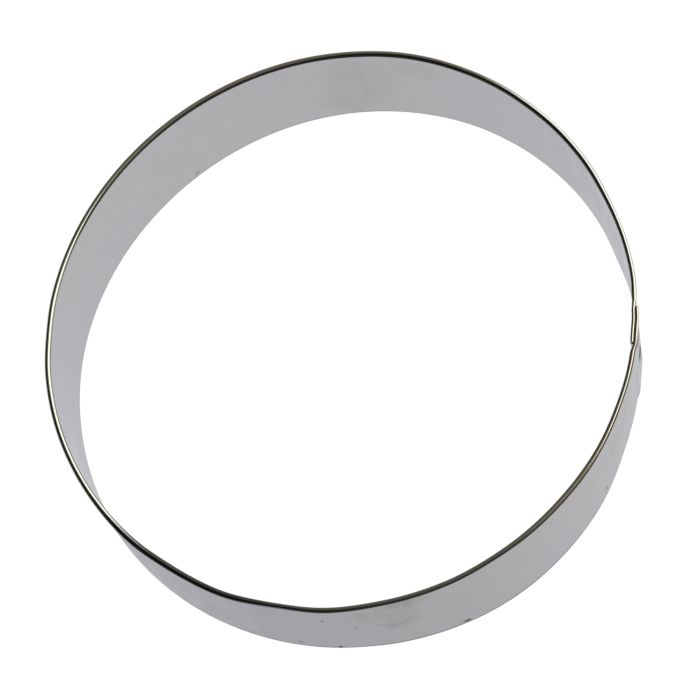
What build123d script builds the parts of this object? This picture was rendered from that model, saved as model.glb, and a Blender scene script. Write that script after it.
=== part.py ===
"""Round biscuit cutter: a tinplate strip with a rolled rim, bent into a ring, lapped and spot welded.

Frame: the origin is on the ring's axis in the plane of the cutting edge, +Z points up to the
rolled rim, and the lapped seam is centred on +X. Lengths are millimetres, angles are degrees.
The strip starts at the inner layer's end, just clockwise of the seam, runs counter-clockwise
round the ring and ends on top of its own start, as the outer layer. The welding electrodes
press the lap flat, and its rims with it.
"""
import os
from math import acos, asin, atan2, ceil, cos, degrees, hypot, radians, sin, sqrt

from build123d import *

os.makedirs("parts", exist_ok=True)

# Band
band_diameter = 108.0
band_height = 25.4
sheet_thickness = 0.3

# Rolled rim: the sheet steps in from the wall, turns over and curls back under
rim_bore = 0.35
rim_step = 0.2
rim_bend_radius = 2.0
rim_tail_radius = 0.13
rim_rise = 0.05
rim_edge_gap = 0.55

# Pressed rim in the lap, where the two rims lie side by side
hem_step = 0.08
hem_gap = 0.04
hem_return = 0.75
hem_edge_gap = 0.1

# Lapped seam
lap_length = 6.6
lap_clearance = 0.03
lap_margin = 0.4
run_out_length = 3.0

# Spot welds
weld_diameter = 3.0
weld_setback = 2.3
weld_dish_depth = 0.06
weld_dish_slope = 0.5
weld_heights = {"lower": 7.8, "upper": 16.5}

overrun = 2.0

# The wall's centreline: its radius all round, and its distance from the axis in the flat lap
wall_radius = (band_diameter - sheet_thickness) / 2
half_flat = lap_length / 2 + lap_margin
inner_layer = sqrt(wall_radius**2 - half_flat**2)
outer_layer = inner_layer + sheet_thickness + lap_clearance

# Largest turn of a flat that stands for a bend inside or under the fold
flat_turn = 90.0

# Centreline radii of the folds at the top of the sheet
rim_fold_radius = (rim_bore + sheet_thickness) / 2
hem_fold_radius = (hem_gap + sheet_thickness) / 2
bend_radius = rim_bend_radius + sheet_thickness / 2
tail_radius = rim_tail_radius + sheet_thickness / 2

# Angle from the seam at which the rim has opened out to its full round
round_edge = degrees(asin(half_flat / wall_radius) + run_out_length / wall_radius)


def ring_plane(angle):
    """Upright plane through the ring's axis: its X points outwards at this angle, its Y is up."""
    outwards = (cos(radians(angle)), sin(radians(angle)), 0)
    return Plane(origin=(0, 0, 0), x_dir=outwards, z_dir=(outwards[1], -outwards[0], 0))


def lap_plane(along):
    """Upright plane across the flat lap, this far along it counter-clockwise from its middle."""
    return Plane(origin=(0, along, 0), x_dir=(1, 0, 0), z_dir=(0, -1, 0))


def rim_tail_turn():
    """Turn of the curl below its side, which leaves the sheet's edge just clear of the wall."""
    turn = acos(1 - rim_step / (bend_radius + rim_fold_radius))
    drop = rim_rise + (bend_radius + rim_fold_radius) * sin(turn)
    across = bend_radius - rim_step + 2 * rim_fold_radius - tail_radius
    span = hypot(across, drop)
    corner = tail_radius + sheet_thickness / 2
    reach = bend_radius + sheet_thickness / 2 + rim_edge_gap
    between = acos((span**2 + corner**2 - reach**2) / (2 * span * corner))
    return 180 - degrees(atan2(drop, across)) - degrees(between)


def sheet_face(wall_at, step, fold, upper_bend, rise, tail_bend, tail_turn, side):
    """Draw one face of the sheet's section, half a thickness off its centreline.

    The wall stands this far out, steps sideways at its top (outwards is positive), rises,
    folds over outwards and comes down in its tail. side is -1 for the face that looks
    inwards on the wall and +1 for the other, which ends up inside the fold, where hardly
    anything shows it and its bends are drawn in flats. Returns the face's two end points.
    """
    shift = side * sheet_thickness / 2
    turn = degrees(acos(1 - abs(step) / (bend_radius + upper_bend)))
    turn = turn if step < 0 else -turn
    bends_height = (bend_radius + upper_bend) * sin(radians(abs(turn)))
    fold_height = band_height - fold - sheet_thickness / 2
    bend_height = fold_height - rise - bends_height

    def bend(before, bend_size, bend_turn):
        hidden = side > 0
        arc = JernArc(
            start=before @ 1,
            tangent=before % 1,
            radius=bend_size + (shift if bend_turn > 0 else -shift),
            arc_size=bend_turn,
            mode=Mode.PRIVATE if hidden else Mode.ADD,
        )
        if hidden:
            flats = ceil(abs(bend_turn) / flat_turn)
            Polyline(*[arc @ (corner / flats) for corner in range(flats + 1)])
        return arc

    wall = Line((wall_at + shift, 0), (wall_at + shift, bend_height))
    lower = bend(wall, bend_radius, turn)
    upper = bend(lower, upper_bend, -turn)
    riser = Line(upper @ 1, (wall_at + step + shift, fold_height))
    over = bend(riser, fold, -180)
    tail = bend(over, tail_bend, -tail_turn)
    return wall @ 0, tail @ 1


def strip_section(plane, *shape):
    """Closed section of the strip in this plane."""
    with BuildSketch(plane) as section:
        with BuildLine():
            inner_foot, outer_end = sheet_face(*shape, -1)
            outer_foot, inner_end = sheet_face(*shape, 1)
            Line(outer_end, inner_end)
            Line(inner_foot, outer_foot)
        make_face()
    return section.sketch


def rim_section(angle):
    """Section of the ring with its round rolled rim."""
    return strip_section(
        ring_plane(angle), wall_radius, -rim_step, rim_fold_radius, rim_fold_radius, rim_rise,
        tail_radius, rim_tail_turn(),
    )


def hem_section(along, layer, step):
    """Section of one layer of the lap, with its rim pressed flat."""
    lean_radius = hem_return**2 / hem_gap
    return strip_section(
        lap_plane(along), layer, step, hem_fold_radius, bend_radius, hem_return + hem_edge_gap,
        lean_radius, degrees(hem_return / lean_radius),
    )


def inner_section(along):
    return hem_section(along, inner_layer, -hem_step)


def outer_section(along):
    return hem_section(along, outer_layer, 2 * hem_fold_radius - hem_step)


# Spot welds go through both layers of the lap, from the inner layer's inner face
weld_along = lap_length / 2 - weld_setback
weld_depth = 2 * sheet_thickness + lap_clearance
weld_face = inner_layer - sheet_thickness / 2

# Band: inner layer, its rim opening out, the ring, its rim closing, outer layer
with BuildPart() as band:
    add(inner_section(-lap_length / 2))
    extrude(amount=lap_length / 2 + half_flat, dir=(0, 1, 0))
    loft(sections=[inner_section(half_flat), rim_section(round_edge)])
    add(rim_section(round_edge))
    revolve(axis=Axis.Z, revolution_arc=360 - 2 * round_edge)
    loft(sections=[rim_section(-round_edge), outer_section(-half_flat)])
    add(outer_section(-half_flat))
    extrude(amount=half_flat + lap_length / 2, dir=(0, 1, 0))
    # Holes that the weld nuggets fill
    with BuildSketch(Plane.YZ.offset(weld_face - overrun)):
        with Locations(*[(weld_along, height) for height in weld_heights.values()]):
            Circle(weld_diameter / 2)
    extrude(amount=weld_depth + 2 * overrun, mode=Mode.SUBTRACT)
band.part.label = "band"
export_step(band.part, "parts/band.step")

# Spot welds: a round nugget through both layers, dished on both faces by the electrodes
for place, height in weld_heights.items():
    weld_centre = (weld_face, weld_along, height)
    with BuildPart() as spot_weld:
        # Half of the section: X points away from the nugget's axis, Y outwards through the lap
        with BuildSketch(Plane(origin=weld_centre, x_dir=(0, 1, 0), z_dir=(0, 0, -1))):
            with BuildLine():
                Polyline(
                    (0, weld_dish_depth),
                    (weld_diameter / 2 - weld_dish_slope, weld_dish_depth),
                    (weld_diameter / 2, 0),
                    (weld_diameter / 2, weld_depth),
                    (weld_diameter / 2 - weld_dish_slope, weld_depth - weld_dish_depth),
                    (0, weld_depth - weld_dish_depth),
                    close=True,
                )
            make_face()
        revolve(axis=Axis(weld_centre, (1, 0, 0)))
    spot_weld.part.label = f"spot_weld_{place}"
    export_step(spot_weld.part, f"parts/spot_weld_{place}.step")
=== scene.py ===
"""Looks of the round biscuit cutter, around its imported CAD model.

Frame: metres, the origin on the ring's axis in the plane of the cutting edge, +Z up to the rolled
rim, the lapped seam on +X. The strip starts at the inner layer's end, runs counter-clockwise and
ends on top of its own start. Lengths named for the strip, its welds and the camera are
millimetres, those of the floor and the softbox are metres, and angles are degrees.
"""
from math import acos, cos, degrees, pi, radians, sin, sqrt

import bpy
import numpy as np
from mathutils import Matrix, Vector


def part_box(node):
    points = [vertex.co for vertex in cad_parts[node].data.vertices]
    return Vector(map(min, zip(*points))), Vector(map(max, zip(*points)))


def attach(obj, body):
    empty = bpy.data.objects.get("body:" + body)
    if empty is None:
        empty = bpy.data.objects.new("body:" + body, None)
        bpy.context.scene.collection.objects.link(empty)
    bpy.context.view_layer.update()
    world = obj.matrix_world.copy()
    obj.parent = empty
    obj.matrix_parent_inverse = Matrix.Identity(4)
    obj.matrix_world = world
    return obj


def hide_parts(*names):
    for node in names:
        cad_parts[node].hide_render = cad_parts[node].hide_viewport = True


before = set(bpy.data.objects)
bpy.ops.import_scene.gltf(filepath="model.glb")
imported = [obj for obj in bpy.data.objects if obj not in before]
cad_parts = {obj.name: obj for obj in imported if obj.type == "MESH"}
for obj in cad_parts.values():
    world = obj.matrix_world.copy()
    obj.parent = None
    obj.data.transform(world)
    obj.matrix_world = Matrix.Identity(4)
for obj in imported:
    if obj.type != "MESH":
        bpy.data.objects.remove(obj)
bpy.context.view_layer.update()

MM = 0.001

# Strip, with the rim as wide and as centred over the wall as in the photograph
BAND_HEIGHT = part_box("band")[1][2] / MM
SHEET = 0.3
WALL_RADIUS = 53.85
RIM_BORE = 0.5
RIM_RISE = 0.05
RIM_TAIL_RADIUS = 0.28
RIM_TAIL_TURN = 60.0
RIM_STEP = 0.445
STEP_BEND_RADIUS = 1.15

# Pressed rim in the lap, and the lap itself: how far each layer goes past the seam's middle, and
# how far from it each layer's rim begins to open out and is fully round
HEM_GAP = 0.04
HEM_RETURN = 0.75
HEM_STEP = 0.08
INNER_END = 3.05
OUTER_END = 3.65
LAP_GAP = 0.03
HALF_FLAT = 3.7
INNER_RUN_OUT = (3.5, 6.3)
OUTER_RUN_OUT = (2.9, 5.0)

# Spot welds. The dish and the burr round it are set by shares of the weld's radius.
WELD_HEIGHTS = {"lower": 7.8, "upper": 16.5}
WELD_ALONG = 1.0
WELD_DIAMETER = 3.0
WELD_DISH = 0.15
WELD_DISH_SLOPE = 1.25
WELD_BURR = 0.07
WELD_BURR_SHARE = 1.1
WELD_BURR_WIDTH_SHARE = 0.13
# Share of the dimple that each face of a layer follows: its inner face, its outer face
OUTER_DISH = (-0.5, -1.0)
INNER_DISH = (0.17, -0.5)

# Sprung shape: the ring is slightly oval and three-cornered, with shallow flats from the bending.
# Each is (millimetres outwards, angle of its middle), the flats also have a half-width.
OVAL = (0.573, 59.8)
CORNERS = (0.308, 71.5)
RIM_FLATS = [
    (0.24, 0, 18), (0.48, 14, 17), (-0.1, 50, 12), (0.12, 80, 14), (-0.13, 183, 8),
    (-0.15, 239, 8), (0.2, 252, 8), (0.18, 272, 10), (-0.1, 308, 22), (0.09, 9.5, 5),
    (0.12, 35, 14), (0.09, 47, 8), (-0.13, 264, 8), (-0.1, 304, 9), (0.08, 350, 9),
    (-0.19, 3.8, 2.6), (-0.16, 287, 22), (-0.06, 308, 12), (0.09, 232, 22), (-0.085, 297, 36),
]
FOOT_FLATS = [
    (0.05, 10, 12), (-0.22, 26, 8), (-0.02, 26, 10), (0.15, 44, 16), (0.07, 56, 8), (0.1, 68, 16),
    (-0.12, 155, 60), (-0.12, 195, 20), (-0.08, 276, 8), (0.2, 308, 25), (0.12, 330, 14),
    (-0.25, 345, 14), (-0.06, 356, 7), (-0.12, 275, 45), (-0.1, 345, 30),
]

# The outer layer's end leans out at its rim: millimetres, from this angle, over this stretch
LEAN_OUT = (0.4, 318, 20)

# How far the rim's curl is pressed together: a share of the lap's flat hem, angle, half-width
SQUEEZES = [
    (0.44, 14, 24), (0.14, 25, 8), (0.42, 292, 40), (0.34, 349, 24), (-0.25, 232, 22),
    (0.3, 264, 9), (0.15, 304, 10),
]

# Mesh of the band: angles between its sections in the lap and round the ring, the height up to
# which the wall has rows of its own, and the steps of each run above that
LAP_PITCH = 0.22
RING_PITCH = 0.5
ROWS_UP_TO = 22.0
WALL_STEPS = 4
BEND_STEPS = 6
RISER_STEPS = 2
FOLD_STEPS = 28
TAIL_STEPS = 8
SHARP_FROM = 35.0

# The photograph's camera, in a frame whose Y points away from it, before that frame is turned
# so that the seam comes to +X
PHOTO_TURN = 25.0
CAMERA_LENS = 156.63
CAMERA_SENSOR = 36.0
CAMERA_ELEVATION = 67.3008
CAMERA_ROLL = -22.594
CAMERA_PLACE = (0.235, -218.27, 532.803)
CAMERA_CLIP = (10.0, 100000.0)


def photo_rotation():
    """Rotation from the photograph's frame to the scene's."""
    return Matrix.Rotation(radians(PHOTO_TURN), 4, "Z")


# Band


def bend_points(points, radius, turn, steps):
    """Adds an arc's points; a point is (outwards, up, heading), turn is positive to the left."""
    across, up, heading = points[-1]
    side = 1 if turn > 0 else -1
    centre = (across - side * radius * sin(heading), up + side * radius * cos(heading))
    for step in range(1, steps + 1):
        now = heading + radians(turn) * step / steps
        outwards = centre[0] + side * radius * sin(now)
        points.append((outwards, centre[1] - side * radius * cos(now), now))


def line_points(points, length, steps):
    """Adds a straight run's points."""
    across, up, heading = points[-1]
    for step in range(1, steps + 1):
        run = length * step / steps
        points.append((across + run * cos(heading), up + run * sin(heading), heading))


def wall_levels(top):
    """Heights of the wall's rows: close together at the foot and round the spot welds."""
    coarse = 1.0
    fine = 0.25
    edge = 0.1
    round_weld = 2.0
    levels = {0.0, edge, top}
    levels.update(np.arange(coarse, top, coarse).round(2).tolist())
    for height in WELD_HEIGHTS.values():
        near = np.arange(-round_weld, round_weld + fine / 2, fine)
        levels.update((height + near).round(2).tolist())
    return sorted(level for level in levels if 0 <= level <= top)


def sheet_line(step, fold_radius, upper_radius, rise, tail_radius, tail_turn):
    """Centreline of the sheet's section from the foot to the rim's free edge."""
    turn = degrees(acos(1 - abs(step) / (STEP_BEND_RADIUS + upper_radius)))
    turn = turn if step < 0 else -turn
    bends_height = (STEP_BEND_RADIUS + upper_radius) * sin(radians(abs(turn)))
    wall_top = BAND_HEIGHT - fold_radius - SHEET / 2 - rise - bends_height
    points = [(0.0, level, pi / 2) for level in wall_levels(ROWS_UP_TO)]
    line_points(points, wall_top - points[-1][1], WALL_STEPS)
    bend_points(points, STEP_BEND_RADIUS, turn, BEND_STEPS)
    bend_points(points, upper_radius, -turn, BEND_STEPS)
    line_points(points, rise, RISER_STEPS)
    bend_points(points, fold_radius, -180, FOLD_STEPS)
    bend_points(points, tail_radius, -tail_turn, TAIL_STEPS)
    return np.array(points)


def section_loop(line):
    """The sheet's section as a closed loop: up its inner face and down its outer one."""
    normal = np.stack([-np.sin(line[:, 2]), np.cos(line[:, 2])], 1)
    inner = line[:, :2] + normal * SHEET / 2
    outer = line[:, :2] - normal * SHEET / 2
    return np.concatenate([inner, outer[::-1]])


rim_fold = (RIM_BORE + SHEET) / 2
hem_fold = (HEM_GAP + SHEET) / 2
lean_radius = HEM_RETURN**2 / HEM_GAP
hem = (STEP_BEND_RADIUS, HEM_RETURN, lean_radius, degrees(HEM_RETURN / lean_radius))
rim_line = sheet_line(-RIM_STEP, rim_fold, rim_fold, RIM_RISE, RIM_TAIL_RADIUS, RIM_TAIL_TURN)
rim_loop = section_loop(rim_line)
inner_hem_loop = section_loop(sheet_line(-HEM_STEP, hem_fold, *hem))
outer_hem_loop = section_loop(sheet_line(2 * hem_fold - HEM_STEP, hem_fold, *hem))

inner_layer = sqrt(WALL_RADIUS**2 - HALF_FLAT**2)
outer_layer = inner_layer + SHEET + LAP_GAP
inner_end_angle = degrees(INNER_END / WALL_RADIUS)
outer_end_angle = degrees(OUTER_END / WALL_RADIUS)
inner_opening = [degrees(away / WALL_RADIUS) for away in INNER_RUN_OUT]
outer_opening = [degrees(away / WALL_RADIUS) for away in OUTER_RUN_OUT]


def ease(value):
    """Smooth step from 0 to 1."""
    value = np.clip(value, 0.0, 1.0)
    return value * value * (3 - 2 * value)


def flats(angle, listed):
    """Sum of the shallow flats at this angle."""
    total = 0.0
    for outwards, middle, half_width in listed:
        away = (angle - middle + 180) % 360 - 180
        total += outwards * ease(1 - abs(away) / half_width)
    return total


def sprung(angle):
    """How far the wall stands out from the true circle, at its foot and at its rim."""
    oval, oval_at = OVAL
    corners, corners_at = CORNERS
    both = oval * cos(radians(2 * (angle - oval_at)))
    both += corners * cos(radians(3 * (angle - corners_at)))
    return both + flats(angle, FOOT_FLATS), both + flats(angle, RIM_FLATS)


def dimple(along, height):
    """Depth of the electrodes' dimples at this place on the lap."""
    depth = np.zeros_like(height)
    for middle in WELD_HEIGHTS.values():
        away = np.hypot(along - WELD_ALONG, height - middle) / (WELD_DIAMETER / 2)
        dish = WELD_DISH * ease(WELD_DISH_SLOPE * (1 - away))
        burr = np.exp(-(((away - WELD_BURR_SHARE) / WELD_BURR_WIDTH_SHARE) ** 2))
        depth += dish - WELD_BURR * burr
    return depth


def band_row(angle):
    """Points of one section; angle runs from just below 0 to just above 360, along the strip."""
    seam = (angle + 180) % 360 - 180
    first_end = angle < 180
    hem_loop = inner_hem_loop if first_end else outer_hem_loop
    opens, opened = inner_opening if first_end else outer_opening
    pressed = 1 - ease((abs(seam) - opens) / (opened - opens))
    squeezed = flats(angle, SQUEEZES)
    loop = rim_loop * (1 - squeezed) + inner_hem_loop * squeezed
    loop = loop * (1 - pressed) + hem_loop * pressed
    layer = inner_layer if first_end else outer_layer
    chord = layer / cos(radians(seam)) if abs(seam) < opened else WALL_RADIUS
    radius = WALL_RADIUS * (1 - pressed) + chord * pressed
    foot, rim = sprung(angle)
    lean, lean_from, lean_run = LEAN_OUT
    rim += lean * ease((angle - lean_from) / lean_run) * (1 - pressed)
    outwards = radius + loop[:, 0] + foot + (rim - foot) * loop[:, 1] / BAND_HEIGHT
    if abs(seam) < opened:
        depth = dimple(WALL_RADIUS * radians(seam), loop[:, 1])
        wall = loop[:, 1] < WELD_HEIGHTS["upper"] + WELD_DIAMETER
        inside = np.arange(len(loop)) < len(loop) // 2
        share = np.where(inside, *(INNER_DISH if first_end else OUTER_DISH))
        outwards = outwards + share * depth * wall
    turn = radians(angle)
    return np.stack([outwards * cos(turn), outwards * sin(turn), loop[:, 1]], 1)


def strip_angles():
    """Angles of the sections: fine in the lap, wider round the ring."""
    opened = inner_opening[1]
    near = np.arange(-inner_end_angle, opened, LAP_PITCH)
    ring = np.arange(opened, 360 - opened, RING_PITCH)
    far = np.arange(360 - opened, 360 + outer_end_angle, LAP_PITCH)
    return np.concatenate([near, ring, far, [360 + outer_end_angle]])


def new_object(name, points, faces):
    mesh = bpy.data.meshes.new(name)
    mesh.from_pydata(points, [], faces)
    mesh.validate()
    mesh.update()
    piece = bpy.data.objects.new(name, mesh)
    bpy.context.scene.collection.objects.link(piece)
    return piece


# The strip's own map: along it, and round its section from the inner face's foot over the rim's
# free edge to the outer face's foot. Its unit is this many millimetres.
MAP_UNIT = 10.0
face_run = np.hypot(*np.diff(rim_loop[: len(rim_loop) // 2], axis=0).T)
face_across = np.concatenate([[0], np.cumsum(face_run)]) / MAP_UNIT
free_edge = face_across[-1]
EDGE = SHEET / MAP_UNIT
OUTER_FOOT = 2 * free_edge + EDGE
# In that unit, the rim begins this far up each face, and its grime fades in over this stretch
RIM_FROM = 2.4
RIM_FADE = 0.04


def along_map(angle):
    """This angle on the strip's map."""
    return radians(angle) * WALL_RADIUS / MAP_UNIT


def on_map(angle, height, inner=False):
    """A place on one face of the wall, on the strip's map."""
    up = height / MAP_UNIT
    return along_map(angle), up if inner else OUTER_FOOT - up


def map_at_heading(heading):
    """Where the rim's section has this heading on the strip's map."""
    headings = np.degrees(rim_line[:, 2])
    top = int(np.argmax(face_across > RIM_FROM))
    return float(np.interp(-heading, -headings[top:], face_across[top:]))


def strip_map(angles):
    """Corners of the band's faces on the map, in the order in which make_band makes them."""
    along = np.radians(angles) * WALL_RADIUS / MAP_UNIT
    across = np.concatenate([face_across, OUTER_FOOT - face_across[::-1], [OUTER_FOOT + EDGE]])
    low = np.broadcast_to(across[:-1], (len(along) - 1, len(across) - 1))
    high = np.broadcast_to(across[1:], low.shape)
    start = np.broadcast_to(along[:-1, None], low.shape)
    stop = np.broadcast_to(along[1:, None], low.shape)
    walls = np.stack([start, low, stop, low, stop, high, start, high], -1)
    low, high = face_across[:-1], face_across[1:]
    first = np.full(len(low), along[0])
    last = np.full(len(low), along[-1])
    start_cap = np.stack([first, low, first, high, first - EDGE, high, first - EDGE, low], -1)
    end_cap = np.stack([last, low, last + EDGE, low, last + EDGE, high, last, high], -1)
    caps = np.stack([start_cap, end_cap], 1)
    return np.concatenate([walls.reshape(-1, 2), caps.reshape(-1, 2)])


def make_band(material):
    angles = strip_angles()
    rows = np.array([band_row(angle) for angle in angles])
    count = rows.shape[1]
    faces = []
    for row in range(len(angles) - 1):
        here = row * count
        there = here + count
        for at in range(count):
            after = (at + 1) % count
            faces.append((here + at, there + at, there + after, here + after))
    last = (len(angles) - 1) * count
    for at in range(count // 2 - 1):
        other = count - 1 - at
        faces.append((at, at + 1, other - 1, other))
        faces.append((last + at, last + other, last + other - 1, last + at + 1))
    piece = new_object("band_sheet", (rows.reshape(-1, 3) * MM).tolist(), faces)
    mesh = piece.data
    mesh.polygons.foreach_set("use_smooth", [True] * len(mesh.polygons))
    mesh.set_sharp_from_angle(angle=radians(SHARP_FROM))
    layer = mesh.uv_layers.new(name="strip")
    layer.data.foreach_set("uv", strip_map(angles).ravel().astype(np.float32))
    mesh.materials.append(material)
    return piece


# Spot welds


def make_weld(place, height, material):
    """A round nugget through both layers, its faces following the dimples."""
    rings = 14
    around = 64
    proud = 0.05
    edge_drop = 3
    edge_power = 6
    reach_share = 0.95
    reach = WELD_DIAMETER / 2 * reach_share
    points = []
    for face, layer, share in ((1, outer_layer, OUTER_DISH[1]), (-1, inner_layer, INNER_DISH[0])):
        for ring in range(rings + 1):
            away = reach * ring / rings
            lift = proud - edge_drop * proud * (ring / rings) ** edge_power
            for turn in range(around):
                spoke = 2 * pi * turn / around
                along = WELD_ALONG + away * cos(spoke)
                up = height + away * sin(spoke)
                depth = float(dimple(along, np.array([up]))[0])
                seam = along / WALL_RADIUS
                foot, rim = sprung(degrees(seam))
                lean = foot + (rim - foot) * up / BAND_HEIGHT
                outwards = layer / cos(seam) + lean + face * (SHEET / 2 + lift) + share * depth
                points.append((outwards * cos(seam), outwards * sin(seam), up))
    faces = []
    for side in range(2):
        start = side * (rings + 1) * around
        for ring in range(rings):
            for turn in range(around):
                after = (turn + 1) % around
                quad = [
                    start + ring * around + turn,
                    start + (ring + 1) * around + turn,
                    start + (ring + 1) * around + after,
                    start + ring * around + after,
                ]
                faces.append(quad if side == 0 else quad[::-1])
    outer_edge = rings * around
    inner_edge = (2 * rings + 1) * around
    for turn in range(around):
        after = (turn + 1) % around
        faces.append((outer_edge + turn, inner_edge + turn, inner_edge + after, outer_edge + after))
    points = [tuple(value * MM for value in point) for point in points]
    piece = new_object(f"weld_nugget_{place}", points, faces)
    piece.data.polygons.foreach_set("use_smooth", [True] * len(piece.data.polygons))
    piece.data.materials.append(material)
    return piece


# Nodes


class Nodes:
    """Short names for building one material's nodes."""

    def __init__(self, tree):
        self.tree = tree
        tree.nodes.clear()

    def add(self, kind, **values):
        """A node with these values, each an input's name or a setting's."""
        node = self.tree.nodes.new(kind)
        for name, value in values.items():
            if name in node.inputs:
                node.inputs[name].default_value = value
            else:
                setattr(node, name, value)
        return node

    def link(self, source, target):
        self.tree.links.new(source, target)

    def math(self, operation, *values, clamp=False):
        node = self.tree.nodes.new("ShaderNodeMath")
        node.operation = operation
        node.use_clamp = clamp
        for socket, value in zip(node.inputs, values):
            if isinstance(value, (int, float)):
                socket.default_value = value
            else:
                self.link(value, socket)
        return node.outputs[0]

    def times(self, first, second):
        return self.math("MULTIPLY", first, second)

    def most(self, *values):
        """The largest of these values."""
        total = values[0]
        for value in values[1:]:
            total = self.math("MAXIMUM", total, value)
        return total

    def less(self, share, value):
        """1 where the value is 0, less this share where it is 1."""
        return self.math("MULTIPLY_ADD", value, -share, 1.0)

    def span(self, value, low, high, to_low=0.0, to_high=1.0):
        """Smooth map of value from low..high."""
        node = self.tree.nodes.new("ShaderNodeMapRange")
        node.interpolation_type = "SMOOTHSTEP"
        self.link(value, node.inputs["Value"])
        node.inputs["From Min"].default_value = low
        node.inputs["From Max"].default_value = high
        node.inputs["To Min"].default_value = to_low
        node.inputs["To Max"].default_value = to_high
        return node.outputs["Result"]

    def mix(self, factor, first, second, blend="MIX"):
        node = self.tree.nodes.new("ShaderNodeMix")
        node.data_type = "RGBA"
        node.blend_type = blend
        colours = [socket for socket in node.inputs if socket.type == "RGBA"]
        for socket, value in ((node.inputs[0], factor), (colours[0], first), (colours[1], second)):
            if isinstance(value, (int, float, tuple)):
                socket.default_value = value
            else:
                self.link(value, socket)
        return next(socket for socket in node.outputs if socket.type == "RGBA")

    def vector(self, operation, first, second):
        """Vector maths on a socket and a fixed vector."""
        node = self.add("ShaderNodeVectorMath", operation=operation)
        self.link(first, node.inputs[0])
        node.inputs[1].default_value = second
        return node

    def noise(self, place, scale, detail, roughness, stretch=None):
        """Noise from 0 to 1, after the place is stretched."""
        if stretch:
            place = self.vector("MULTIPLY", place, (*stretch, 1.0)).outputs[0]
        node = self.add("ShaderNodeTexNoise", Scale=scale, Detail=detail, Roughness=roughness)
        self.link(place, node.inputs["Vector"])
        return node.outputs["Fac"]


class StripNodes(Nodes):
    """Nodes of a material that is laid out on the strip's map."""

    def __init__(self, tree):
        super().__init__(tree)
        texture = self.add("ShaderNodeTexCoord")
        self.body = texture.outputs["Object"]
        self.strip = texture.outputs["UV"]
        split = self.add("ShaderNodeSeparateXYZ")
        self.link(self.strip, split.inputs[0])
        self.along, self.across = split.outputs["X"], split.outputs["Y"]

    def between(self, first, last, soft=8.0):
        """1 between these two angles along the strip, 0 outside them."""
        edges = [along_map(angle) for angle in (first - soft, first, last, last + soft)]
        rise = self.span(self.along, *edges[:2])
        return self.times(rise, self.span(self.along, *edges[2:], 1.0, 0.0))

    def headed(self, low, high, to_low=0.0, to_high=1.0):
        """Smooth map over the rim's section, from one heading to another."""
        return self.span(self.across, map_at_heading(low), map_at_heading(high), to_low, to_high)


def new_metal(name, nodes_kind, **values):
    """A material with a Principled surface, the material's nodes and that surface."""
    material = bpy.data.materials.new(name)
    material.use_nodes = True
    nodes = nodes_kind(material.node_tree)
    output = nodes.add("ShaderNodeOutputMaterial")
    metal = nodes.add("ShaderNodeBsdfPrincipled", **values)
    nodes.link(metal.outputs["BSDF"], output.inputs["Surface"])
    return material, nodes, metal


# Tinplate

TIN = (0.436, 0.437, 0.446, 1.0)
TIN_LAVENDER = (0.43, 0.426, 0.46, 1.0)
TIN_WARM = (0.441, 0.438, 0.437, 1.0)
TIN_REDDISH = (0.432, 0.421, 0.43, 1.0)
# Near-black for grime, specks and weld scorches, for the darker line along the foot, and for the
# painted shade in the rim's groove, under its curl and on the outer layer's cut end
GRIME_AND_SHADE = (0.034, 0.023, 0.018, 1.0)
STAIN = (0.26, 0.235, 0.2, 1.0)
SMUDGE = (0.2, 0.195, 0.175, 1.0)
CLOUDED = (0.335, 0.33, 0.335, 1.0)
TIN_SPECULAR = {"Specular Tint": (0.825, 0.82, 0.86, 1.0), "Specular IOR Level": 0.1}
TIN_BUMP = {"Strength": 0.25, "Distance": 0.00002}

# The rim's colour, as a multiple of the tin's: on its inner half and top, on its outer half, and
# over these stretches: from, to, fade, colour
RIM_TINT = (0.96, 1.02, 0.98, 1.0)
RIM_STRAW = (1.03, 0.98, 0.82, 1.0)
RIM_STRETCHES = [
    (240, 303, 24, (0.66, 0.74, 0.78, 1.0)),
    (231, 258, 9, (0.42, 0.46, 0.5, 1.0)),
    (13, 56, 6, (0.87, 0.92, 0.94, 1.0)),
]

# Noise: scale, detail, roughness, and its stretch along and across the strip. The clouds are a
# few centimetres wide, the patches a centimetre.
CLOUDS = (40.0, 3.0, 0.55)
PATCHES = (1.0, 2.0, 0.5, (1.3, 0.9))
STREAKS = (1.0, 3.0, 0.5, (4.0, 1.2))
GRAIN = (1.0, 2.0, 0.6, (30.0, 22.0))
WELD_SCALE = (1300.0, 3.0, 0.6)

# Maps of that noise: from low to high, to this much and this much
CLOUDS_LAVENDER = (0.48, 0.66, 0.0, 0.6)
CLOUDS_LAVENDER_SIDE = (0.3, 0.5, 0.4, 0.9)
PATCHES_REDDISH = (0.52, 0.66, 0.0, 0.6)
STREAKS_SHADE = (0.3, 0.7, 0.97, 1.02)
GRAIN_SHADE = (0.3, 0.7, -0.008, 0.008)
STREAKS_ROUGHNESS = (0.3, 0.7, 0.23, 0.29)
UNEVEN_SMUDGES = (0.35, 0.6, 0.5, 1.0)
WELD_SCALE_BARE = (0.56, 0.68)

# Roughness that is added on the rim, outside and in the grime and painted shade, and how little
# metal they are
RIM_ROUGHNESS = -0.14
OUTSIDE_ROUGHNESS = 0.05
GRIME_SHADE_ROUGHNESS = 0.25
GRIME_SHADE_NOT_METAL = 0.85

# Headings over the rim's section, from where a thing begins to where it is full: 90 goes up the
# wall, 0 is the top of the curl and -90 comes down its outer flank
RIM_RISES = (80, 60)
RIM_ENDS = -80
STRAW_TURNS = (0, -50)
GROOVE_TURNS = (48, 64)
FLANK_TURNS = (-30, -52)
STEEP_TURNS = (-64, -78)
SHOULDER_TURNS = (-22, -44)
SHOULDER_FADES = (-74, -86)
UNDER_TURNS = (-88, -100)

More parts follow.
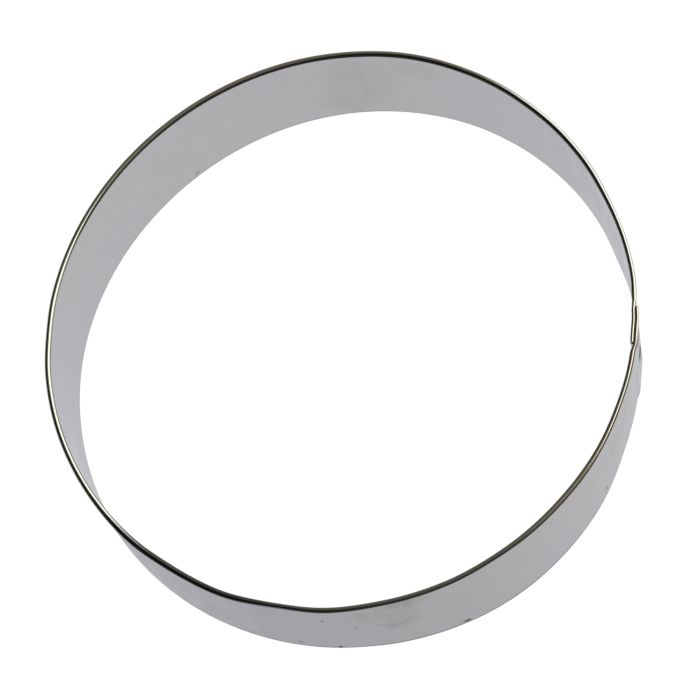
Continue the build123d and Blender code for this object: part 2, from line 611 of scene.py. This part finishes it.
# Stretches of the strip: from and to these angles, and the fade at each end where it is named
LAVENDER_SIDE = (200, 258, 14)
NEUTRAL_SIDE = (290, 345, 14)
DARK_FLANKS = [(228, 252), (268, 361)]
GREY_FLANK = (28, 42)
PALE_STEEPS = [(338, 361), (-10, 50)]
DARK_SHOULDER = (338, 357, 6)

# The outer layer's pressed rim has less grime and painted shade past these angles, and painted
# shade on its cut end over its last stretch
PALE_LAP = (355.6, 358.4)
DARK_END = 0.3

# Heights above the foot, in the map's unit, between which the outer face turns neutral
NEUTRAL_RISES = (0.3, 1.0)

# Where the painted shade on the outer face goes from its darkest to its lightest, and the share of
# light kept there
OUTER_SHADE_FROM = (272, 334)
OUTER_SHADE_SHARES = (0.83, 0.995)

# Strength of the grime and painted shade on the curl's flanks, its shoulder and the ends, and of
# the darker line along the foot. The outer layer's cut end has painted shade alone. At the foot it
# also has the places, in the map's unit above the edge, where it begins and is full.
FLANK_GRIME_SHADE = 0.35
DARK_FLANK_GRIME_SHADE = 0.6
GREY_FLANK_GRIME_SHADE = 0.7
SHOULDER_GRIME_SHADE = 0.95
PALE_LAP_GRIME_SHADE = 0.25
END_SHADE = 0.85
START_GRIME_SHADE = 0.5
START_FADE = 0.004
OUTER_FOOT_DARK = (0.08, 0.01, 0.5)
INNER_FOOT_DARK = (0.05, 0.0, 0.25)

# Stretches where both faces are this share darker, and where the inner groove's grime and painted
# shade are this share weaker
DARKER = [(82, 138, 0.02), (180, 209, 0.02), (200, 209, 0.04), (245, 266, 0.03)]
PALER_GROOVE = [(165, 198, 0.45), (34, 64, 0.25)]

# Marks: angle, height, half-length along, half-height, slope, strength. On the outer face the
# smudges and stains are brown, and the specks and the welds' scorches nearly black. On the inner
# face the smudges are only clouded tin.
SMUDGES = [
    (281.5, 17.5, 8.5, 6.0, -20, 0.62), (284.0, 12.0, 6.0, 5.5, 0, 0.5),
    (341.0, 16.0, 8.0, 9.0, 0, 0.26), (285.0, 22.0, 7.0, 4.5, 0, 0.75),
    (279.4, 19.0, 2.8, 2.8, 0, 0.6),
]
STAINS = [(281.3, 12.2, 3.3, 0.5, -28, 0.7), (275.7, 12.6, 0.4, 0.8, 0, 0.8)]
SPECKS = [
    (270.1, 18.0, 0.35, 0.45, 0, 0.6), (270.8, 0.5, 0.4, 1.0, 0, 1.0),
    (296.2, 1.4, 1.0, 0.5, -8, 0.95), (334.3, 3.0, 0.35, 0.7, 20, 0.75),
    (253.4, 2.2, 0.3, 0.4, 0, 0.5), (263.3, 2.4, 0.6, 0.5, 0, 0.35),
    (363.1, 16.0, 0.3, 0.7, 0, 0.9),
]
SCORCHES = [(361.4, 8.4, 2.2, 2.5, 0, 1.0), (361.3, 16.5, 2.0, 2.0, 0, 1.0)]
SCORCH_SHARE = 0.92
SCORCH_CORE = 0.45
INNER_SMUDGES = [
    (92, 12, 10.0, 22.0, 0, 0.6), (95.4, 7, 7.0, 9.0, 0, 0.5), (79.7, 20, 8.0, 6.0, 0, 0.45),
]
INNER_SPECKS = [(130.3, 1.3, 0.9, 0.5, 15, 0.3), (196.0, 9.0, 0.5, 0.5, 0, 0.25)]

# Unevenness of the marks' outlines, on the map
RAGGED_SCALE = 9.0
RAGGED = 0.09


def marks(nodes, place, listed, inner=False, core=0.5):
    """Strongest of these marks at each place; core is the share of a mark at full strength."""
    found = []
    for angle, height, half_along, half_up, slope, strength in listed:
        spot = nodes.add("ShaderNodeMapping", vector_type="TEXTURE")
        nodes.link(place, spot.inputs["Vector"])
        spot.inputs["Location"].default_value = (*on_map(angle, height, inner), 0.0)
        spot.inputs["Rotation"].default_value = (0.0, 0.0, radians(slope if inner else -slope))
        spot.inputs["Scale"].default_value = (half_along / MAP_UNIT, half_up / MAP_UNIT, 1.0)
        away = nodes.add("ShaderNodeVectorMath", operation="LENGTH")
        nodes.link(spot.outputs[0], away.inputs[0])
        found.append(nodes.times(nodes.span(away.outputs["Value"], 1.0, core), strength))
    return nodes.most(*found)


def ragged_place(nodes):
    """The strip's map, bent a little by noise, so that the marks' outlines are uneven."""
    warp = nodes.add("ShaderNodeTexNoise", Scale=RAGGED_SCALE, Detail=3.0)
    nodes.link(nodes.strip, warp.inputs["Vector"])
    bend = nodes.vector("MULTIPLY_ADD", warp.outputs["Color"], (RAGGED, RAGGED, 0.0))
    nodes.link(nodes.strip, bend.inputs[2])
    return nodes.vector("SUBTRACT", bend.outputs[0], (RAGGED / 2, RAGGED / 2, 0.0)).outputs[0]


def tin_colour(nodes, clouds, patches):
    """Colour of the clean walls."""
    side = nodes.times(
        nodes.between(*LAVENDER_SIDE), nodes.span(clouds, *CLOUDS_LAVENDER_SIDE)
    )
    lavender = nodes.most(nodes.span(clouds, *CLOUDS_LAVENDER), side)
    # Near the lap the outer face is neutral, with the lavender only by the foot
    neutral_share = 0.9
    off_foot = nodes.span(nodes.across, *(OUTER_FOOT - up for up in NEUTRAL_RISES))
    neutral = nodes.times(nodes.between(*NEUTRAL_SIDE), off_foot)
    lavender = nodes.times(lavender, nodes.less(neutral_share, neutral))
    tin = nodes.mix(lavender, nodes.mix(neutral, TIN, TIN_WARM), TIN_LAVENDER)
    return nodes.mix(nodes.span(patches, *PATCHES_REDDISH), tin, TIN_REDDISH)


def rim_colour(nodes, tin):
    """Colour of the clean rim."""
    tint = nodes.mix(nodes.headed(*STRAW_TURNS), RIM_TINT, RIM_STRAW)
    for first, last, fade, colour in RIM_STRETCHES:
        tint = nodes.mix(nodes.between(first, last, fade), tint, colour)
    return nodes.mix(1.0, tin, tint, "MULTIPLY")


def wear_and_shade(nodes, outside, streaks, grain):
    """Share of light that the tin keeps, from its streaks and grain, and from the painted shade on
    the outer face.
    """
    shade = nodes.math(
        "ADD", nodes.span(streaks, *STREAKS_SHADE), nodes.span(grain, *GRAIN_SHADE)
    )
    # The outer face gets a painted shade, darkest on the side away from the lap
    outer_shade = nodes.span(nodes.along, *(along_map(angle) for angle in OUTER_SHADE_FROM), *OUTER_SHADE_SHARES)
    outer_shade = nodes.math("MULTIPLY_ADD", nodes.math("SUBTRACT", outer_shade, 1.0), outside, 1.0)
    shade = nodes.times(shade, outer_shade)
    for first, last, share in DARKER:
        shade = nodes.times(shade, nodes.less(share, nodes.between(first, last)))
    return shade


def rim_grime_and_shade(nodes):
    """Grime and painted shade in the groove at the rim's foot inside, and on and under its curl
    outside.
    """
    along, across = nodes.along, nodes.across
    groove = nodes.times(
        nodes.span(across, RIM_FROM, RIM_FROM + RIM_FADE), nodes.headed(*GROOVE_TURNS)
    )
    for first, last, share in PALER_GROOVE:
        groove = nodes.times(groove, nodes.less(share, nodes.between(first, last)))
    # The groove's grime and painted shade are lighter at the inner layer's cut end
    start = along_map(-inner_end_angle)
    start_grime_shade = nodes.span(along, start - START_FADE, start, START_GRIME_SHADE, 1.0)
    groove = nodes.times(groove, start_grime_shade)
    # The grime and painted shade on the curl's outer flank are darkest over some stretches, and its
    # steepest part is left without them on both sides of the lap
    dark_flanks = nodes.most(*(nodes.between(*stretch) for stretch in DARK_FLANKS))
    flank = nodes.math("MULTIPLY_ADD", dark_flanks, DARK_FLANK_GRIME_SHADE, FLANK_GRIME_SHADE)
    flank = nodes.most(flank, nodes.times(nodes.between(*GREY_FLANK), GREY_FLANK_GRIME_SHADE))
    pale_steeps = nodes.most(*(nodes.between(*stretch) for stretch in PALE_STEEPS))
    steep = nodes.times(nodes.headed(*STEEP_TURNS), pale_steeps)
    flank = nodes.times(flank, nodes.math("SUBTRACT", 1.0, steep))
    shoulder = nodes.times(
        nodes.headed(*SHOULDER_TURNS), nodes.headed(*SHOULDER_FADES, SHOULDER_GRIME_SHADE, 0.0)
    )
    shoulder = nodes.times(shoulder, nodes.between(*DARK_SHOULDER))
    under_curl = nodes.times(
        nodes.most(nodes.times(nodes.headed(*FLANK_TURNS), flank), nodes.headed(*UNDER_TURNS)),
        nodes.span(across, OUTER_FOOT - RIM_FROM, OUTER_FOOT - RIM_FROM - RIM_FADE),
    )
    under_curl = nodes.most(under_curl, shoulder)
    # The lap's pressed rim is open and has less grime and painted shade, and its cut end gets
    # painted shade
    lap = [along_map(angle) for angle in PALE_LAP]
    end = [along_map(angle) for angle in (360 + outer_end_angle - DARK_END, 360 + outer_end_angle)]
    under_curl = nodes.times(under_curl, nodes.span(along, *lap, 1.0, PALE_LAP_GRIME_SHADE))
    under_curl = nodes.most(under_curl, nodes.span(along, *end, 0.0, END_SHADE))
    return nodes.most(groove, under_curl)


def foot_dark_line(nodes):
    """A darker line along the cut edge, on both faces."""
    fade, full, strength = OUTER_FOOT_DARK
    outer = nodes.span(nodes.across, OUTER_FOOT - fade, OUTER_FOOT - full, 0.0, strength)
    fade, full, strength = INNER_FOOT_DARK
    return nodes.most(outer, nodes.span(nodes.across, fade, full, 0.0, strength))


def tinplate():
    """Bright tin coat: soft mottling, grime and painted shade in the rim's grooves and under its
    curl, a darker line along the cut edge, painted shade on the outer face, stains.
    """
    material, nodes, metal = new_metal("tinplate", StripNodes, **TIN_SPECULAR)
    clouds = nodes.noise(nodes.body, *CLOUDS)
    patches = nodes.noise(nodes.strip, *PATCHES)
    streaks = nodes.noise(nodes.strip, *STREAKS)
    grain = nodes.noise(nodes.strip, *GRAIN)
    outside = nodes.span(nodes.across, free_edge, free_edge + EDGE)
    rim_ends = nodes.span(nodes.across, free_edge, map_at_heading(RIM_ENDS))
    rim = nodes.times(nodes.headed(*RIM_RISES), rim_ends)
    tin = tin_colour(nodes, clouds, patches)
    tin = nodes.mix(rim, tin, rim_colour(nodes, tin))
    tone = nodes.add("ShaderNodeVectorMath", operation="SCALE")
    nodes.link(tin, tone.inputs[0])
    nodes.link(wear_and_shade(nodes, outside, streaks, grain), tone.inputs["Scale"])

    place = ragged_place(nodes)
    # Grime, specks, scorches, the darker foot line and the painted shade on the rim, all mixed
    # towards near-black
    grime_and_shade = nodes.most(
        rim_grime_and_shade(nodes),
        foot_dark_line(nodes),
        marks(nodes, place, SPECKS),
        marks(nodes, place, INNER_SPECKS, inner=True),
        nodes.times(marks(nodes, place, SCORCHES, core=SCORCH_CORE), SCORCH_SHARE),
    )
    uneven = nodes.times(
        nodes.span(streaks, *UNEVEN_SMUDGES), nodes.span(patches, *UNEVEN_SMUDGES)
    )
    smudges = nodes.times(marks(nodes, place, SMUDGES, core=0.0), uneven)
    clouded = nodes.times(marks(nodes, place, INNER_SMUDGES, inner=True, core=0.0), uneven)
    stained = nodes.mix(clouded, nodes.mix(smudges, tone.outputs[0], SMUDGE), CLOUDED)
    stained = nodes.mix(marks(nodes, place, STAINS), stained, STAIN)
    nodes.link(nodes.mix(grime_and_shade, stained, GRIME_AND_SHADE), metal.inputs["Base Color"])
    nodes.link(nodes.less(GRIME_SHADE_NOT_METAL, grime_and_shade), metal.inputs["Metallic"])

    # The rim is burnished, the walls are duller and the grime and painted shade are dull
    rough = nodes.span(streaks, *STREAKS_ROUGHNESS)
    rough = nodes.math("MULTIPLY_ADD", rim, RIM_ROUGHNESS, rough)
    rough = nodes.math("MULTIPLY_ADD", outside, OUTSIDE_ROUGHNESS, rough)
    rough = nodes.math("MULTIPLY_ADD", grime_and_shade, GRIME_SHADE_ROUGHNESS, rough)
    nodes.link(rough, metal.inputs["Roughness"])
    bump = nodes.add("ShaderNodeBump", **TIN_BUMP)
    nodes.link(grain, bump.inputs["Height"])
    nodes.link(bump.outputs[0], metal.inputs["Normal"])
    return material


# Weld mark and floor

BURNT = (0.03, 0.026, 0.026, 1.0)
BARE = (0.33, 0.32, 0.33, 1.0)
BURNT_SURFACE = {"Roughness": 0.6, "Specular IOR Level": 0.02}
PAPER = (0.8, 0.8, 0.8, 1.0)
PAPER_SHEEN = (0.08, 0.08, 0.08, 1.0)
WHITE = (1.0, 1.0, 1.0, 1.0)
WHITE_STRENGTH = 0.99


def weld_mark():
    """Tin burnt by the electrode: dark scale with a few bare bright spots."""
    material, nodes, metal = new_metal("weld_mark", Nodes, **BURNT_SURFACE)
    place = nodes.add("ShaderNodeTexCoord")
    bare = nodes.span(nodes.noise(place.outputs["Object"], *WELD_SCALE), *WELD_SCALE_BARE)
    nodes.link(nodes.mix(bare, BURNT, BARE), metal.inputs["Base Color"])
    nodes.link(bare, metal.inputs["Metallic"])
    return material


def floor_paper():
    """White paper: it shows as white to the camera and in the metal, and keeps a soft shadow."""
    material = bpy.data.materials.new("floor_paper")
    material.use_nodes = True
    nodes = Nodes(material.node_tree)
    output = nodes.add("ShaderNodeOutputMaterial")
    path = nodes.add("ShaderNodeLightPath").outputs
    seen = nodes.math("ADD", path["Is Camera Ray"], path["Is Glossy Ray"], clamp=True)
    seen = nodes.math("ADD", seen, path["Is Transmission Ray"], clamp=True)
    plain = nodes.add("ShaderNodeBsdfDiffuse", Color=PAPER)
    faint = nodes.add("ShaderNodeBsdfDiffuse", Color=PAPER_SHEEN)
    glow = nodes.add("ShaderNodeEmission", Color=WHITE, Strength=WHITE_STRENGTH)
    white = nodes.add("ShaderNodeAddShader")
    nodes.link(faint.outputs[0], white.inputs[0])
    nodes.link(glow.outputs[0], white.inputs[1])
    both = nodes.add("ShaderNodeMixShader")
    nodes.link(seen, both.inputs[0])
    nodes.link(plain.outputs[0], both.inputs[1])
    nodes.link(white.outputs[0], both.inputs[2])
    nodes.link(both.outputs[0], output.inputs["Surface"])
    return material


# Stage

FLOOR_HALF = 4.0

# World: its colours, and ways in the photograph's frame
SKY_HIGH = (0.26, 0.245, 0.19, 1.0)
SKY_LOW = (0.36, 0.27, 0.15, 1.0)
SKY_NEAR = (0.56, 0.54, 0.35, 1.0)
DARK = (0.014, 0.014, 0.015, 1.0)
SKY_WAY = (0.0, 0.5, 0.86)
RIGHT_WAY = (1.0, 0.0, 0.0)
NEAR_WAY = (0.55, -0.4, 0.735)

# Cosines to those ways between which the sky sets in, and heights between which it changes
SKY_COSINES = (0.1, 0.45)
RIGHT_COSINES = (-0.35, 0.0)
NEAR_COSINES = (0.92, 0.985)
SKY_HEIGHTS = (0.2, 0.95)

# Softbox: its turn from the photograph's right, how high it stands and its light
SOFTBOX_TURN = 14.0
SOFTBOX_RAISE = 32.0
SOFTBOX_AWAY = 1.0
SOFTBOX_SIZE = (1.3, 1.2)
SOFTBOX_RADIANCE = 2.6
SOFTBOX_COLOUR = (1.0, 0.97, 0.8)


def make_floor():
    near, far = -FLOOR_HALF, FLOOR_HALF
    corners = [(near, near, 0), (far, near, 0), (far, far, 0), (near, far, 0)]
    floor = new_object("floor", corners, [(0, 1, 2, 3)])
    floor.data.materials.append(floor_paper())


def make_world():
    """A dim studio: a brownish ceiling and far side, a faint olive glow above the photograph's
    near right, and dark to the left and behind the camera."""
    world = bpy.data.worlds.new("studio")
    bpy.context.scene.world = world
    world.use_nodes = True
    nodes = Nodes(world.node_tree)
    output = nodes.add("ShaderNodeOutputWorld")
    glow = nodes.add("ShaderNodeBackground")
    nodes.link(glow.outputs[0], output.inputs["Surface"])
    place = nodes.add("ShaderNodeTexCoord").outputs["Generated"]

    def towards(way, low, high):
        """1 towards this way, 0 away from it, by these two cosines."""
        dot = nodes.vector("DOT_PRODUCT", place, photo_rotation() @ Vector(way))
        return nodes.span(dot.outputs["Value"], low, high)

    lit = nodes.times(towards(SKY_WAY, *SKY_COSINES), towards(RIGHT_WAY, *RIGHT_COSINES))
    split = nodes.add("ShaderNodeSeparateXYZ")
    nodes.link(place, split.inputs[0])
    sky = nodes.mix(nodes.span(split.outputs["Z"], *SKY_HEIGHTS), SKY_LOW, SKY_HIGH)
    colour = nodes.mix(lit, DARK, sky)
    colour = nodes.mix(towards(NEAR_WAY, *NEAR_COSINES), colour, SKY_NEAR)
    nodes.link(colour, glow.inputs["Color"])


def make_softbox():
    """One large soft light, low on the photograph's right and a little behind the ring."""
    lamp = bpy.data.lights.new("softbox", "AREA")
    lamp.shape = "RECTANGLE"
    lamp.size, lamp.size_y = SOFTBOX_SIZE
    lamp.energy = SOFTBOX_RADIANCE * pi * lamp.size * lamp.size_y
    lamp.color = SOFTBOX_COLOUR
    piece = bpy.data.objects.new("softbox", lamp)
    bpy.context.scene.collection.objects.link(piece)
    turned = radians(SOFTBOX_TURN)
    raised = radians(SOFTBOX_RAISE)
    way = Vector((cos(turned) * cos(raised), sin(turned) * cos(raised), sin(raised)))
    way = photo_rotation() @ way
    piece.location = way * SOFTBOX_AWAY
    piece.rotation_euler = way.to_track_quat("Z", "Y").to_euler()


def make_camera():
    camera = bpy.data.cameras.new("camera")
    camera.lens = CAMERA_LENS
    camera.sensor_width = CAMERA_SENSOR
    camera.clip_start, camera.clip_end = (clip * MM for clip in CAMERA_CLIP)
    piece = bpy.data.objects.new("camera", camera)
    bpy.context.scene.collection.objects.link(piece)
    tilt = Matrix.Rotation(radians(90 - CAMERA_ELEVATION), 4, "X")
    roll = Matrix.Rotation(radians(CAMERA_ROLL), 4, "Z")
    place = Matrix.Translation(Vector(CAMERA_PLACE) * MM)
    piece.matrix_world = photo_rotation() @ place @ tilt @ roll
    bpy.context.scene.camera = piece


make_camera()
sheet = tinplate()
mark = weld_mark()
band = make_band(sheet)
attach(band, "root")
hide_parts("band")
for place, height in WELD_HEIGHTS.items():
    weld = make_weld(place, height, mark)
    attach(weld, "root")
    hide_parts(f"spot_weld_{place}")
make_floor()
make_world()
make_softbox()
bpy.context.scene.view_settings.view_transform = "Standard"
